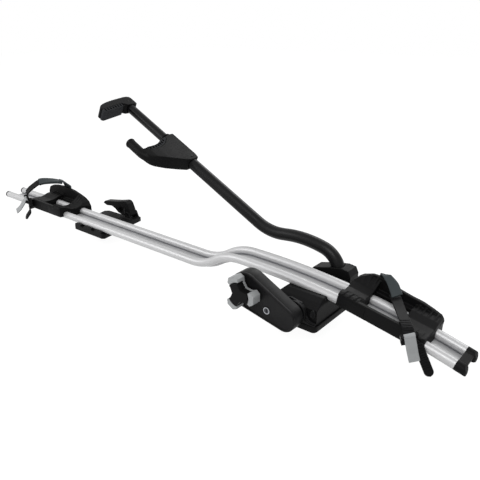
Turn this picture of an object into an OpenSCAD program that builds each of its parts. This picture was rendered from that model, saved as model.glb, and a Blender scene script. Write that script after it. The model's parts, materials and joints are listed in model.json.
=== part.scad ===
// Upright bicycle carrier for a pair of roof bars: a two-tube rail on a front base and a rear foot,
// a folding arm with a sliding upper jaw, a knob that closes the jaw, and a strap tray for each wheel.
// The origin lies on the top plane of the roof bars, under the arm's shaft, in the rail's middle plane.
// +X points to the front of the car, +Y to the arm's side and +Z up. All sizes are in millimetres.

/* [Rail] */
// Outer radius of each rail tube
tube_r = 9.5; // [9:0.25:10.5]
// Wall of each rail tube
tube_wall = 1.6; // [1.2:0.1:2]
// Distance between the two tube axes
tube_pitch = 52; // [51:0.5:54]
// Thickness of the floor between the tubes
web_t = 2; // [1.5:0.25:2.5]
// Depth of the floor's top below the tube axes
web_drop = 7; // [6:0.25:7.25]
// Width of the T-slot under the floor
slot_w = 16; // [14:0.5:17]
// Height of the T-slot
slot_h = 4.5; // [4:0.25:5]
// Width of the T-slot's mouth
slot_mouth = 9; // [8:0.5:11]
// Thickness of the T-slot's legs and lips
slot_lip = 2; // [1.5:0.25:2.25]
// Height of the tube axes over the roof bars at the rear
rear_axis_z = 24.5; // [24:0.25:27]
// Radius of the two bends in the rail's step
step_r = 136; // [120:2:150]
// Angle of the rail's step
step_a = 32; // [30:0.5:34]
// Straight length between the two bends of the step
step_straight = 6; // [4:1:12]
// Place of the step's upper end
crest_x = -182; // [-196:1:-170]
// Length of the level stretch after the step
crest_len = 26; // [20:1:36]
// Radius of the long bend down to the front
front_arc_r = 1700; // [1600:20:1900]
// Length of the rail along that bend
front_arc_len = 449; // [440:1:456]
// Length of the straight stretch behind the step
rear_len = 823; // [800:1:850]
// Length of the drain slot near the front end
drain_len = 12; // [8:1:16]
// Width of the drain slot
drain_w = 5; // [3:0.5:7]
// Length of the front cap's nose
front_cap_len = 23; // [20:1:28]
// Thickness of the rear caps
rear_cap_t = 6; // [4:1:10]
// Length of the plugs that hold the caps in the tubes
cap_plug_len = 14; // [8:1:24]

/* [Front base] */
// Length of the base plate along the rail
base_len = 109; // [104:1:120]
// Distance of the base plate's front edge from the shaft
base_front = 47; // [45:1:54]
// Reach of the base plate to the knob's side
base_near = 85; // [82:1:88]
// Reach of the base plate to the arm's side
base_far = 60; // [58:1:61]
// Radius of the base plate's corners
base_corner_r = 10; // [6:1:16]
// Top of the base plate over the roof bars
base_top = 14; // [12:0.5:16]
// Thickness of the rubber pads under the feet
pad_t = 2; // [1.5:0.5:4]
// Height of the housing's shoulders beside the rail
shoulder_z = 60; // [57:0.5:62]
// Radius of the bolt holes to the roof bars
bar_hole_r = 4.25; // [3.25:0.25:5]
// Distance between the two bolt holes
bar_hole_pitch = 60; // [50:1:70]
// Distance of the bolt holes in front of the shaft
bar_hole_x = 31; // [28:0.5:33]
// Radius of the sockets over the bolt holes
bar_socket_r = 8; // [7:0.5:9]
// Radius of the bolts between the rail and its feet
rail_bolt_r = 3; // [2.5:0.25:3.5]
// Height of the shaft over the roof bars
shaft_z = 32; // [30:0.5:34]
// Radius of the arm's shaft
shaft_r = 9; // [7:0.5:10]
// Wall of the shaft's bushes
bush_wall = 3; // [2:0.5:4]
// Radius of the bushes' flanges
bush_flange_r = 15; // [14.5:0.5:17]

/* [Knob housing] */
// Radius of the housing round the shaft
house_pivot_r = 25; // [23:1:28]
// Radius of the housing round the knob
house_knob_r = 38; // [34:1:42]
// Place of the knob's axis behind the shaft
knob_back = 90; // [80:1:100]
// Height of the knob's axis over the shaft
knob_rise = 31; // [24:1:38]
// Inner face of the housing, from the rail's middle plane
house_inner = 92; // [91:0.5:95]
// Depth of the housing's tub
house_depth = 26; // [22:1:30]
// Wall of the housing
house_wall = 3; // [2:0.5:4]
// Thickness of the housing's cover
cover_t = 4; // [3:0.5:6]
// Radius of the boss that faces the base
boss_r = 17.5; // [16:0.25:17.75]
// Radius of the knob's spindle
spindle_r = 5; // [4:0.5:6]
// Radius of the wire drum
drum_r = 16; // [12:1:20]
// Reach of the knob's three grips
grip_reach = 37; // [34:1:40]
// Half width of the grips' ends
grip_w = 14; // [12:0.5:16]
// Radius of the knob's dark core
core_r = 25; // [22:0.5:28]
// Thickness of the knob
knob_t = 22; // [16:1:28]
// Radius of the lock barrel
lock_r = 5.5; // [4.5:0.5:7]
// Place of the lock along the housing, from the shaft
lock_along = 38.5; // [36:0.5:41]
// Distance of the lock below the housing's middle line
lock_drop = 7.4; // [6:0.2:9]

/* [Arm] */
// Distance of the arm from the rail's middle plane
arm_y = 80; // [79:0.5:84]
// Outer radius of the arm tube
arm_r = 14; // [13.5:0.25:15]
// Wall of the arm tube
arm_wall = 1.6; // [1:0.1:2]
// Angle at which the arm leaves the hub
arm_lean = 72; // [68:1:76]
// Radius of the bend over the hub
arm_bend1_r = 55; // [45:1:65]
// Angle of the bend over the hub
arm_bend1_a = 58; // [54:1:62]
// Radius of the long shallow bend
arm_bend2_r = 248; // [220:2:280]
// Angle of the long shallow bend
arm_bend2_a = 21; // [18:1:24]
// Radius of the bend up to the straight run
arm_bend3_r = 123; // [100:1:150]
// Slope of the arm's straight run as photographed
arm_slope = 27; // [24:1:30]
// Width of the hub across the arm
hub_w = 36; // [34:1:38]
// Straight run of the arm tube up to its mouth
arm_run = 253; // [246:1:260]
// Outer radius of the sliding inner tube
inner_r = 12; // [11:0.25:12]
// Wall of the inner tube
inner_wall = 1.5; // [1:0.25:2.5]
// Length of the inner tube
inner_len = 336; // [330:1:342]
// Reach of the inner tube beyond the arm tube's mouth
inner_out = 246; // [242:1:250]

/* [Jaws] */
// Thickness of the lower jaw across the clamped tube
jaw_t = 33; // [32:0.5:38]
// Thickness of the upper jaw across the clamped tube
upper_t = 29; // [28:0.5:33]
// Length of the lower jaw along the arm
jaw_len = 104; // [100:1:110]
// Reach of the horn from the arm's axis
horn_y = 103; // [100:1:108]
// Radius of the horn
horn_r = 11.5; // [11:0.5:12.5]
// Height of the horn over the cradle
horn_len = 51; // [44:1:60]
// Thickness of the rubber in the jaws
jaw_pad_t = 11; // [9:0.5:12]
// Number of slots in each jaw rubber
jaw_slots = 7; // [5:1:9]
// Width of a slot in the jaw rubber
jaw_slot_w = 5; // [3:0.5:6]
// Depth of a slot in the jaw rubber
jaw_slot_d = 7; // [5:0.5:7.5]
// Gap between the lower jaw's mouth and the upper jaw
jaw_gap = 141; // [138:1:145]

/* [Wheel trays] */
// Place of the front tray along the rail's long bend
front_tray_s = 311; // [306:1:316]
// Place of the rear tray's middle
rear_tray_x = -928; // [-945:1:-924]
// Half width of the tray from the rail's middle plane, near side
tray_near = 46; // [45:0.5:48]
// Half width of the tray from the rail's middle plane, far side
tray_far = 54; // [53:0.5:58]
// Reach of the tray to the middle of the carrier
tray_back = 90; // [88:1:94]
// Reach of the tray to the end of the carrier
tray_front = 88; // [86:1:92]
// Height of the far wall over the tube axes
wall_top = 41; // [38:1:43]
// Thickness of the far wall
wall_t = 8; // [6:0.5:10]
// Height of the near wall over the tube axes
plate_top = 24; // [22:0.5:25]
// Depth of the tray's far skirt below the tube axes
skirt = 12; // [10:0.5:13]
// Length of the bare plate on the near wall
plate_len = 54; // [46:1:58]
// Height of the bare plate on the near wall
plate_h = 20; // [16:1:22]
// Width of the strap
strap_w = 20; // [16:1:20]
// Thickness of the strap
strap_t = 3.5; // [2.5:0.5:4]
// Angle at which the front strap crosses the rail
strap_a = 51; // [49:1:53]
// Angle at which the rear strap crosses the rail
rear_strap_a = 66; // [64:1:68]
// Lean of the buckle along the strap
buckle_lean = 24; // [20:1:28]
// Width of the buckle's lever
lever_w = 19; // [14:0.5:21]
// Length of the buckle's lever
lever_len = 51; // [48:1:58]
// Angle at which the rear buckle's lever stands out as photographed
rear_lever_out = 28; // [20:1:50]
// Radius of the buckle's pin
buckle_pin_r = 2; // [1.5:0.25:2.5]

/* [Rear foot] */
// Place of the rear foot
rear_foot_x = -745; // [-752:1:-720]
// Reach of the rear foot to the near side
foot_near = 44; // [43.5:0.5:48]
// Reach of the rear foot to the far side
foot_far = 118; // [117.5:0.5:124]
// Height of the pivot of the clamp lever
clamp_pivot_z = 26; // [24:0.5:28]
// Width of the clamp lever
clamp_w = 23; // [18:1:28]
// Radius of the clamp lever's pin
clamp_pin_r = 3; // [2:0.25:4]
// Radius of the bolt hole to the rear roof bar
foot_hole_r = 4.25; // [3.25:0.25:5]

/* [Fits] */
// Radial clearance of a shaft that turns or slides in its bore
run_fit = 0.05; // [0.02:0.01:0.1]
// Clearance between pieces that are seated on each other
seat_fit = 0.2; // [0.1:0.05:0.3]
// Clearance between pieces that move past each other
slide_fit = 0.3; // [0.3:0.05:0.5]

/* [Hidden] */
$fn = 48;
// A bent tube swells a little in its bends, and each straight laps into the bend
swell = 0.05;
lap = 1;

// Rail: the step, the crest and the long bend to the front
step_run = 2 * step_r * sin(step_a) + step_straight * cos(step_a);
step_rise = 2 * step_r * (1 - cos(step_a)) + step_straight * sin(step_a);
step_x = crest_x - step_run;
rear_end_x = step_x - rear_len;
crest_z = rear_axis_z + step_rise;
arc_x = crest_x + crest_len;
tube_y = tube_pitch / 2;
web_bottom = web_drop + web_t;
slot_bottom = web_bottom + slot_h + slot_lip;
nut_h = slot_h - 2 * slide_fit;
nut_w = slot_w - 2 * slide_fit;
nut_z = -web_bottom - slide_fit - nut_h;

// Base: faces of the foot, the bushes and the two rail bolts
base_back = base_front - base_len;
bush_r = shaft_r + bush_wall;
house_near_y = -76;
house_far_y = base_far - 2;
bush_flange_t = 2;
bush_len = 24;
rail_bolt_s = [-38 - arc_x, bar_hole_x + 4 - arc_x];
bolt_head_r = rail_bolt_r + 2.5;
bolt_head_h = 4;
bolt_len = 26;

// Knob housing: places in the plane of the housing
shaft_p = [0, shaft_z];
knob_p = [-knob_back, shaft_z + knob_rise];
house_dir = (knob_p - shaft_p) / norm(knob_p - shaft_p);
lock_p = shaft_p + lock_along * house_dir - lock_drop * [house_dir[1], -house_dir[0]];
cover_in = house_inner + house_depth;
cover_out = cover_in + cover_t;
rim_h = 1.5;
knob_in = cover_out + rim_h + 0.8;
knob_out = knob_in + knob_t;
insert_t = 2;
knob_back_t = 6;

// Arm: the root on the hub and the list of straights and bends
arm_root = [1, shaft_z + 25];
arm_bend3_a = arm_slope - (arm_lean - arm_bend1_a - arm_bend2_a);
arm_path = [[8, arm_bend1_r, -arm_bend1_a], [2, arm_bend2_r, -arm_bend2_a], [13, arm_bend3_r, arm_bend3_a]];
arm_bore = arm_r - arm_wall;
guide_r = arm_r - run_fit;
jaw_start = arm_run - 24;
jaw_mouth = jaw_start + jaw_len;
cradle_x = jaw_mouth - 27;
elbow_r = 33;
elbow_a = 60;
elbow_p = [cradle_x + 1, horn_y - elbow_r];
horn_end = horn_len - 5;
slot_shift = [[28, 14.5], [37, 9], [46, 5], [54.5, 2], [63, 0.5], [72, 0]];
taper = [[-40, jaw_t / 2], [66, jaw_t / 2], [88, jaw_t / 2 - 1.2], [101, horn_r + 1],
    [111, horn_r - 2], [117, 5]];
reverse_taper = [for (i = [5 : -1 : 0]) taper[i]];
upper_x = jaw_mouth + jaw_gap;
inner_x1 = arm_run + inner_out;
inner_x0 = inner_x1 - inner_len;
jaw_pin_r = 2.5;

// Trays: the channel over the tubes, the strap's own frame and the buckle's
channel_r = tube_r + slide_fit;
$cross = [strap_a, -tray_near - 2];
rear_cross = [rear_strap_a, -tray_near + 1];
strap_t0 = 53;
strap_edge_s = 11;
lever_s = strap_edge_s + strap_t / 2 + 4.75;
lever_y = -5;
strap_mid = -3;
lever_n = plate_top + 3.5;
lever_barrel_r = 4;
lever_t = 4;
ear_in = 12.5;
ear_t = 2.5;
seat_s = 9;
block_s = 1.5;
block_half = ear_in + ear_t;
block_low = -26;
block_high = -10;
clip_r = 1.6;
front_wall = [[-14, -skirt], [-14, 8], [-7, 20], [1, 28], [10, 32.5], [20, 38], [29, wall_top - 1.5],
    [44, wall_top - 1.5], [64, wall_top - 6], [82, wall_top - 8.5], [103, wall_top - 10],
    [127, wall_top - 10.5], [147, wall_top - 14], [164, wall_top - 18], [170, wall_top - 24],
    [174, -6], [174, -skirt]];
rear_wall = [[-12, -skirt], [-12, 10], [-4, 23], [10, 31], [30, 37], [60, wall_top + 3], [86, wall_top + 6],
    [122, wall_top + 7], [150, wall_top + 5], [172, wall_top + 1], [188, wall_top - 6], [196, wall_top - 20],
    [198, 8], [198, -skirt]];
front_strap_path = [[-104, 27], [-90, 29.5], [-60, 29], [-20, 28.5], [0, 28], [8, 21.5],
    [10.2, 17], [strap_edge_s, 13.5]];
rear_strap_path = [[-91, 66], [-77, 73], [-57, 77.5], [-35, 79], [-22, 76], [-10, 68.5], [2, 59.5], [11, 50],
    [13, 42], [strap_edge_s, 33], [strap_edge_s, 13.5]];
front_tail = [[strap_edge_s + 0.3, -30], [14, -40], [18.5, -62], [28, -90]];
rear_tail = [[strap_edge_s + 0.3, -30], [14, -38], [20, -48], [26, -60]];

// Rear foot: its deck and the clamp lever
foot_deck_z = rear_axis_z - tube_r - slide_fit;
clamp_y = 100;
clamp_x = 47;
clamp_ear_t = 5;
foot_head_h = 3;
foot_hole_y = 62;

// Colours
alloy = "#cfd0d2";
black = "#232324";
soft_black = "#2c2c2e";
light_grey = "#9d9ea2";
dark_grey = "#3f4547";
steel = "#8f9296";

// A flat outline in X and Z, given thickness from y0 to y1
module plate_y(y0, y1) {
    translate([0, y1, 0]) rotate([90, 0, 0]) linear_extrude(height = y1 - y0) children();
}

// A flat outline in Y and Z, given length from x0 to x1
module bar_x(x0, x1) {
    translate([x0, 0, 0]) rotate([90, 0, 90]) linear_extrude(height = x1 - x0) children();
}

// A round rod along Y at a point in X and Z
module rod_y(p, r, y0, y1) {
    translate([p[0], y1, p[1]]) rotate([90, 0, 0]) cylinder(r = r, h = y1 - y0);
}

// A round rod along X
module rod_x(r, x0, x1) {
    translate([x0, 0, 0]) rotate([0, 90, 0]) cylinder(r = r, h = x1 - x0);
}

// A round rod along Z
module rod_z(r, z0, z1) {
    translate([0, 0, z0]) cylinder(r = r, h = z1 - z0);
}

// The strip between the outer tangents of two circles, tucked in by a hair
module strip(p, rp, q, rq) {
    dir = atan2(q[1] - p[1], q[0] - p[0]);
    tilt = acos((rp - rq) / norm(q - p));
    polygon([for (end = [[p, rp, 1], [q, rq, 1], [q, rq, -1], [p, rp, -1]])
        end[0] + (end[1] - swell) * [cos(dir + end[2] * tilt), sin(dir + end[2] * tilt)]]);
}

// Two circles and the strip between them
module link(p, rp, q, rq) {
    translate(p) circle(r = rp);
    translate(q) circle(r = rq);
    strip(p, rp, q, rq);
}

// The same as a solid from y0 to y1
module link_y(y0, y1, p, rp, q, rq) {
    plate_y(y0, y1) translate(p) circle(r = rp);
    plate_y(y0, y1) translate(q) circle(r = rq);
    plate_y(y0, y1) strip(p, rp, q, rq);
}

// A band of even thickness along a list of points
module band(path, t) {
    for (i = [0 : len(path) - 2]) link(path[i], t / 2, path[i + 1], t / 2);
}

// A rectangle with round corners, from a low corner to a high one
module round_rect(low, high, r) {
    translate([low[0], low[1] + r]) square([high[0] - low[0], high[1] - low[1] - 2 * r]);
    translate([low[0] + r, low[1]]) square([high[0] - low[0] - 2 * r, high[1] - low[1]]);
    for (x = [low[0] + r, high[0] - r])
        for (y = [low[1] + r, high[1] - r])
            translate([x, y]) circle(r = r);
}

// The rail's section in Y and Z, about the middle of its two tube axes
module rail_section(grow = 0) {
    difference() {
        union() {
            for (side = [-1, 1]) {
                translate([side * tube_y, 0]) circle(r = tube_r + grow);
                mirror([side < 0 ? 1 : 0, 0]) {
                    translate([slot_w / 2 - grow, -slot_bottom - grow])
                        square([slot_lip + 2 * grow, slot_bottom - web_drop]);
                    translate([slot_mouth / 2 - grow, -slot_bottom - grow])
                        square([(slot_w - slot_mouth) / 2 + slot_lip / 2, slot_lip + 2 * grow]);
                }
            }
            translate([-tube_y, -web_bottom - grow]) square([tube_pitch, web_t + 2 * grow]);
        }
        for (side = [-1, 1])
            translate([side * tube_y, 0]) circle(r = tube_r - tube_wall - grow);
    }
}

// The outline that the rail fills, with some room round it and the space between the tubes left open
module rail_outline(room) {
    half = slot_w / 2 + slot_lip + room;
    for (side = [-1, 1]) translate([side * tube_y, 0]) circle(r = tube_r + room);
    translate([-tube_y, -web_bottom - room]) square([tube_pitch, 4 * tube_r]);
    translate([-half, -slot_bottom - room]) square([2 * half, slot_bottom - web_drop]);
}

// A section carried round a bend about an axis along Y: up is 1 where the bend lifts towards +X
module bend(r, a, up) {
    translate([0, 0, up * r]) rotate([90, 0, 0])
        rotate_extrude(angle = a, start = up > 0 ? -90 : 90 - a, $fn = r > 1000 ? 360 : 96)
            translate([r, 0]) rotate(up > 0 ? 90 : -90) children();
}

// The frame at a distance along the rail's long bend, with X along the rail
module on_arc(s) {
    a = s / front_arc_r * 180 / PI;
    translate([arc_x + front_arc_r * sin(a), 0, crest_z - front_arc_r * (1 - cos(a))])
        rotate([0, a, 0]) children();
}

// A section along part of the long bend
module along_arc(s0, s1) {
    on_arc(s0) bend(front_arc_r, (s1 - s0) / front_arc_r * 180 / PI, -1) children();
}

// The two-tube rail with its step, its crest and its long bend
module rail() {
    mid_x = step_x + step_r * sin(step_a);
    mid_z = rear_axis_z + step_r * (1 - cos(step_a));
    color(alloy) difference() {
        union() {
            translate([0, 0, rear_axis_z]) bar_x(rear_end_x, step_x + lap) rail_section();
            translate([step_x, 0, rear_axis_z]) bend(step_r, step_a, 1) rail_section(swell);
            translate([mid_x, 0, mid_z]) rotate([0, -step_a, 0])
                bar_x(-lap, step_straight + lap) rail_section();
            translate([crest_x, 0, crest_z]) mirror([1, 0, 0]) bend(step_r, step_a, -1) rail_section(swell);
            translate([0, 0, crest_z]) bar_x(crest_x - lap, arc_x + lap) rail_section();
            along_arc(0, front_arc_len) rail_section(swell);
        }
        on_arc(front_arc_len - drain_len - 6) translate([0, 0, -tube_r / 2]) linear_extrude(height = tube_r)
            link([0, 0], drain_w / 2, [drain_len - drain_w, 0], drain_w / 2);
    }
}

// Nose cap with a lobe for each tube, held by a plug in each tube
module rail_front_cap() {
    nose_r = front_cap_len + 1;
    lobe_r = tube_r + 0.3;
    color(black) on_arc(front_arc_len) {
        intersection() {
            bar_x(seat_fit / 2, front_cap_len) {
                for (side = [-1, 1]) translate([side * tube_y, 0]) circle(r = lobe_r);
                translate([-tube_y, -web_bottom]) square([tube_pitch, web_bottom + 5]);
            }
            rod_y([-1, -tube_r], nose_r, -tube_y - tube_r - 1, tube_y + tube_r + 1);
            translate([0, 0, -2 * tube_r]) linear_extrude(height = 4 * tube_r) {
                translate([0, -tube_y]) square([front_cap_len * 0.7, tube_pitch]);
                for (side = [-1, 1])
                    link([0, side * tube_y], lobe_r + 0.5,
                        [front_cap_len - lobe_r, side * tube_y], lobe_r - 0.5);
            }
        }
        for (side = [-1, 1]) translate([0, side * tube_y, 0])
            rod_x(tube_r - tube_wall - seat_fit, -cap_plug_len, 2);
    }
}

// A flat cap with a plug for each tube's rear end
module rail_rear_caps() {
    color(black) for (side = [-1, 1]) translate([rear_end_x, side * tube_y, rear_axis_z]) {
        rod_x(tube_r + 0.2, -rear_cap_t, -seat_fit / 2);
        rod_x(tube_r - tube_wall - seat_fit, -2, cap_plug_len);
    }
}

// The T-slot nut that a rail bolt pulls against, in a frame on the rail
module slot_nut() {
    difference() {
        translate([-10, -nut_w / 2, nut_z]) cube([20, nut_w, nut_h]);
        rod_z(rail_bolt_r + run_fit, -tube_r * 2, 0);
    }
}

// The bolt up into a T-slot nut, with its head below
module slot_bolt(length, head_h) {
    rod_z(rail_bolt_r, nut_z - length - head_h / 2, nut_z + nut_h);
    rod_z(bolt_head_r, nut_z - length - head_h, nut_z - length);
}

module rail_nuts() {
    color(steel) for (s = rail_bolt_s) on_arc(s) slot_nut();
}

module rail_bolts() {
    color(steel) for (s = rail_bolt_s) on_arc(s) slot_bolt(bolt_len, bolt_head_h);
}

// Where the two bolts to the roof bar go
module at_bar_holes() {
    for (side = [-1, 1]) translate([bar_hole_x, side * bar_hole_pitch / 2, 0]) children();
}

// The flat plate that lies on the front roof bar
module base_foot() {
    color(black) difference() {
        translate([0, 0, pad_t]) linear_extrude(height = base_top - pad_t)
            round_rect([base_back, -base_near], [base_front, base_far], base_corner_r);
        at_bar_holes() rod_z(bar_hole_r, 0, base_top + 1);
    }
}

// The rubber under the base plate
module base_pad() {
    inset = 2;
    color(soft_black) difference() {
        linear_extrude(height = pad_t)
            round_rect([base_back + inset, -base_near + inset], [base_front - inset, base_far - inset],
                base_corner_r - inset);
        at_bar_holes() rod_z(bar_hole_r + 2, -1, pad_t + 1);
    }
}

// The block that carries the shaft and cradles the rail
module base_housing() {
    back = base_back + 6;
    front = base_front - 3;
    color(black) difference() {
        intersection() {
            plate_y(house_near_y, house_far_y)
                polygon([[back, base_top], [back, shoulder_z - 10], [back + 10, shoulder_z],
                    [front - 4, shoulder_z], [front, shoulder_z - 10], [front, base_top]]);
            bar_x(back, front)
                polygon([[house_near_y, base_top], [house_near_y, shaft_z + bush_r + 1],
                    [-62, shoulder_z - 6], [-48, shoulder_z], [44, shoulder_z], [52, shoulder_z - 8],
                    [house_far_y, shaft_z + bush_r + 1], [house_far_y, base_top]]);
        }
        along_arc(rail_bolt_s[0] - 60, rail_bolt_s[1] + 60) rail_outline(seat_fit);
        rod_y(shaft_p, bush_r + run_fit, house_near_y - 1, house_far_y + 1);
        for (s = rail_bolt_s) on_arc(s) {
            rod_z(rail_bolt_r + seat_fit, nut_z - bolt_len - 1, 0);
            rod_z(bolt_head_r + seat_fit, -rear_axis_z * 3, nut_z - bolt_len);
        }
        at_bar_holes() rod_z(bar_socket_r, base_top - 1, base_top + 28);
    }
}

// The sculpted cover on the knob's side, with a collar round the boss and a lip that sweeps to the corner
module base_cover() {
    lip_p = [boss_r + 20, shaft_z + 12];
    lip_r = lip_p[1] - base_top - 2;
    front = base_front - 3;
    near = -base_near + 1;
    mate = house_near_y - seat_fit / 2;
    color(soft_black) difference() {
        union() {
            plate_y(near + 4, mate)
                polygon([[-50, base_top], [-50, shaft_z + 4], [-40, shaft_z + 18], [-14, shaft_z + 26],
                    [12, shaft_z + 22], [22, shaft_z + 2], [30, base_top + 8], [front, base_top + 5],
                    [front, base_top]]);
            plate_y(near - 2, mate) translate(shaft_p) circle(r = boss_r + 6);
            plate_y(near, mate) difference() {
                polygon([[boss_r - 4, base_top], [boss_r - 4, shaft_z + 2], [boss_r + 6, shaft_z + 2],
                    [front, base_top + 4], [front, base_top]]);
                translate(lip_p) circle(r = lip_r - 1);
            }
        }
        rod_y(shaft_p, boss_r + 1, -base_near - 6, house_near_y + 1);
        translate([base_back - 1, -base_near - 6, -1]) cube([base_len + 2, 30, base_top + 1 + seat_fit / 2]);
    }
}

// The oval plug on the base's shoulder
module base_plug() {
    p = [bar_hole_x + 4, shaft_z + 2];
    color(soft_black) difference() {
        link_y(house_near_y - 3, house_near_y - seat_fit / 2, p, 5.5, p + [1, 5.5], 5);
        link_y(house_near_y - 4, house_near_y - 2, p, 3.2, p + [1, 5.5], 2.8);
    }
}

// A flanged bush at each side of the base
module shaft_bushes() {
    color(light_grey) difference() {
        union() {
            rod_y(shaft_p, bush_r, house_near_y - 1, house_near_y + bush_len);
            rod_y(shaft_p, bush_r, house_far_y - bush_len, house_far_y + 1);
            rod_y(shaft_p, bush_flange_r, house_near_y - bush_flange_t, house_near_y - seat_fit / 2);
            rod_y(shaft_p, bush_flange_r, house_far_y + seat_fit / 2, house_far_y + bush_flange_t);
        }
        rod_y(shaft_p, shaft_r + run_fit, house_near_y - 5, house_far_y + 5);
    }
}

// The shaft that joins the knob housing to the arm's hub
module arm_shaft() {
    color(steel) rod_y(shaft_p, shaft_r, -cover_in + 4, arm_y + hub_w / 2 - 3);
}

// The frame at the arm's root, with X along the tube and Y towards the rail
module at_arm_root() {
    translate([arm_root[0], arm_y, arm_root[1]]) rotate([0, 0, 180]) rotate([0, -arm_lean, 0]) children();
}

// The frame behind one straight and its bend
module past(leg) {
    turn = leg[2] < 0 ? -1 : 1;
    translate([leg[0] + leg[1] * sin(abs(leg[2])), 0, turn * leg[1] * (1 - cos(leg[2]))])
        rotate([0, -leg[2], 0]) children();
}

// The frame at the start of the arm's straight run
module on_arm() {
    at_arm_root() past(arm_path[0]) past(arm_path[1]) past(arm_path[2]) children();
}

module tube_ring(r, wall, grow = 0) {
    difference() {
        circle(r = r + grow);
        circle(r = r - wall - grow);
    }
}

// One straight and the bend after it
module arm_leg(leg, start) {
    bar_x(start, leg[0] + lap) tube_ring(arm_r, arm_wall);
    translate([leg[0], 0, 0]) bend(leg[1], abs(leg[2]), leg[2] < 0 ? -1 : 1)
        tube_ring(arm_r, arm_wall, swell);
}

// The bent arm tube from the hub to the lower jaw
module arm_tube() {
    color(black) {
        at_arm_root() arm_leg(arm_path[0], 0);
        at_arm_root() past(arm_path[0]) arm_leg(arm_path[1], -lap);
        at_arm_root() past(arm_path[0]) past(arm_path[1]) arm_leg(arm_path[2], -lap);
        on_arm() bar_x(-lap, arm_run) tube_ring(arm_r, arm_wall);
    }
}

// The cast hub on the shaft's far end, with the socket of the arm tube
module arm_hub() {
    y0 = arm_y - hub_w / 2;
    color(soft_black) difference() {
        union() {
            rod_y(shaft_p, shaft_z - 7, y0, y0 + hub_w);
            plate_y(y0, y0 + hub_w) polygon([for (p = [[-59, 14], [-54, 26], [-14, 37], [14, 42], [30, 40],
                [36, 28], [36, 6], [26, -12], [0, -22], [-24, -14]]) shaft_p + p]);
        }
        rod_y(shaft_p, shaft_r + run_fit, y0 - 1, y0 + hub_w - 3 + seat_fit);
        at_arm_root() rod_x(arm_r + run_fit, -seat_fit, arm_path[0][0] + lap);
        at_arm_root() translate([arm_path[0][0], 0, 0]) bend(arm_bend1_r, arm_bend1_a, -1)
            circle(r = arm_r + seat_fit);
    }
}

// The lower jaw's outline along the arm and towards the rail
module lower_jaw_outline() {
    polygon([[jaw_start, 14], [jaw_start + 2, -14], [jaw_start + 16, -jaw_t / 2 - 1],
        [jaw_mouth, -jaw_t / 2 - 1], [jaw_mouth, -2], [jaw_mouth - 6, 14], [cradle_x + 14, 34],
        [cradle_x + 3, 54], [cradle_x, 66], [cradle_x, horn_y - 2],
        for (i = [0 : 5])
            elbow_p + (elbow_r + min(horn_r - 0.5, i * 2.6)) * [cos(96 + 11 * i), sin(96 + 11 * i)],
        [jaw_start + 23, horn_y - 40], [jaw_start + 9, horn_y - 68]]);
}

// The jaw's thickness across its length: it falls away towards the horn
module lower_jaw_taper(x0, x1) {
    bar_x(x0, x1) polygon([for (side = [1, -1])
        for (q = side > 0 ? taper : reverse_taper) [q[0], side * q[1]]]);
}

// The strip of the jaw's mouth that the rubber takes up
module lower_pad_outline(room) {
    polygon([[jaw_mouth + 1, jaw_t / 2 - 1 - room], [jaw_mouth - 12 - room, jaw_t / 2 - 1 - room],
        [cradle_x - 2 - room, 34 - room], [cradle_x - 11 - room, 57], [cradle_x - 12 - room, 68],
        [cradle_x - 12 - room, horn_y - horn_r - 7.5], [cradle_x - 8 - room, horn_y - horn_r - 2 + room],
        [cradle_x + 1, horn_y - horn_r - 2 + room],
        [cradle_x + 1, 66], [cradle_x + 4, 54], [cradle_x + 15, 34], [jaw_mouth - 5, 15]]);
}

// The lower jaw on the arm tube's mouth, with its horn
module lower_jaw() {
    color(soft_black) on_arm() difference() {
        union() {
            intersection() {
                translate([0, 0, -jaw_t / 2]) linear_extrude(height = jaw_t) lower_jaw_outline();
                lower_jaw_taper(jaw_start - 10, jaw_mouth + 10);
            }
            translate(elbow_p) rotate([0, 0, 89]) rotate_extrude(angle = elbow_a) translate([elbow_r, 0])
                circle(r = horn_r - swell);
            translate([elbow_p[0] - lap, horn_y, 0]) rotate([0, 90, 0]) rotate_extrude()
                polygon([[0, 0], [horn_r, 0], [horn_r, horn_end - 9], [horn_r + 0.8, horn_end - 6],
                    [horn_r + 0.8, horn_end - 3], [horn_r - 2, horn_end], [0, horn_end]]);
        }
        rod_x(arm_r + run_fit, jaw_start - 10, jaw_mouth + 10);
        translate([0, 0, -jaw_t / 2 + 3]) linear_extrude(height = jaw_t) lower_pad_outline(seat_fit);
        for (side = [0, 180]) rotate([side, 0, 0]) translate([jaw_start + 12, 0, 0])
            rod_z(jaw_pin_r + run_fit, 0, jaw_t);
    }
}

// The slotted rubber in the lower jaw's cradle
module lower_jaw_pad() {
    step = (horn_y - horn_r - 30) / jaw_slots;
    color(dark_grey) on_arm() difference() {
        intersection() {
            translate([0, 0, -jaw_t / 2 + 3 + seat_fit]) linear_extrude(height = jaw_t - 3 - seat_fit)
                intersection() {
                    lower_pad_outline(0);
                    lower_jaw_outline();
                }
            lower_jaw_taper(jaw_start, jaw_mouth + 10);
        }
        for (y = [28 : step : 28 + (jaw_slots - 0.5) * step])
            translate([cradle_x - 2 - jaw_slot_d + lookup(y, slot_shift), y, jaw_t / 2 - 12])
                cube([jaw_slot_d, jaw_slot_w, 16]);
    }
}

// Two screws through the jaw and the tube's wall
module lower_jaw_screws() {
    color(steel) on_arm() for (side = [0, 180]) rotate([side, 0, 0]) translate([jaw_start + 12, 0, 0])
        rod_z(jaw_pin_r, arm_r + run_fit, jaw_t / 2 + 1);
}

// The guide that the inner tube slides in, with a collar at the jaw's mouth
module arm_guide() {
    color(light_grey) on_arm() difference() {
        union() {
            rod_x(guide_r, arm_run + seat_fit, jaw_mouth + 0.1);
            rod_x(arm_r + 2, jaw_mouth + 0.1, jaw_mouth + 3);
        }
        rod_x(inner_r + run_fit, arm_run - 1, jaw_mouth + 10);
    }
}

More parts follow.
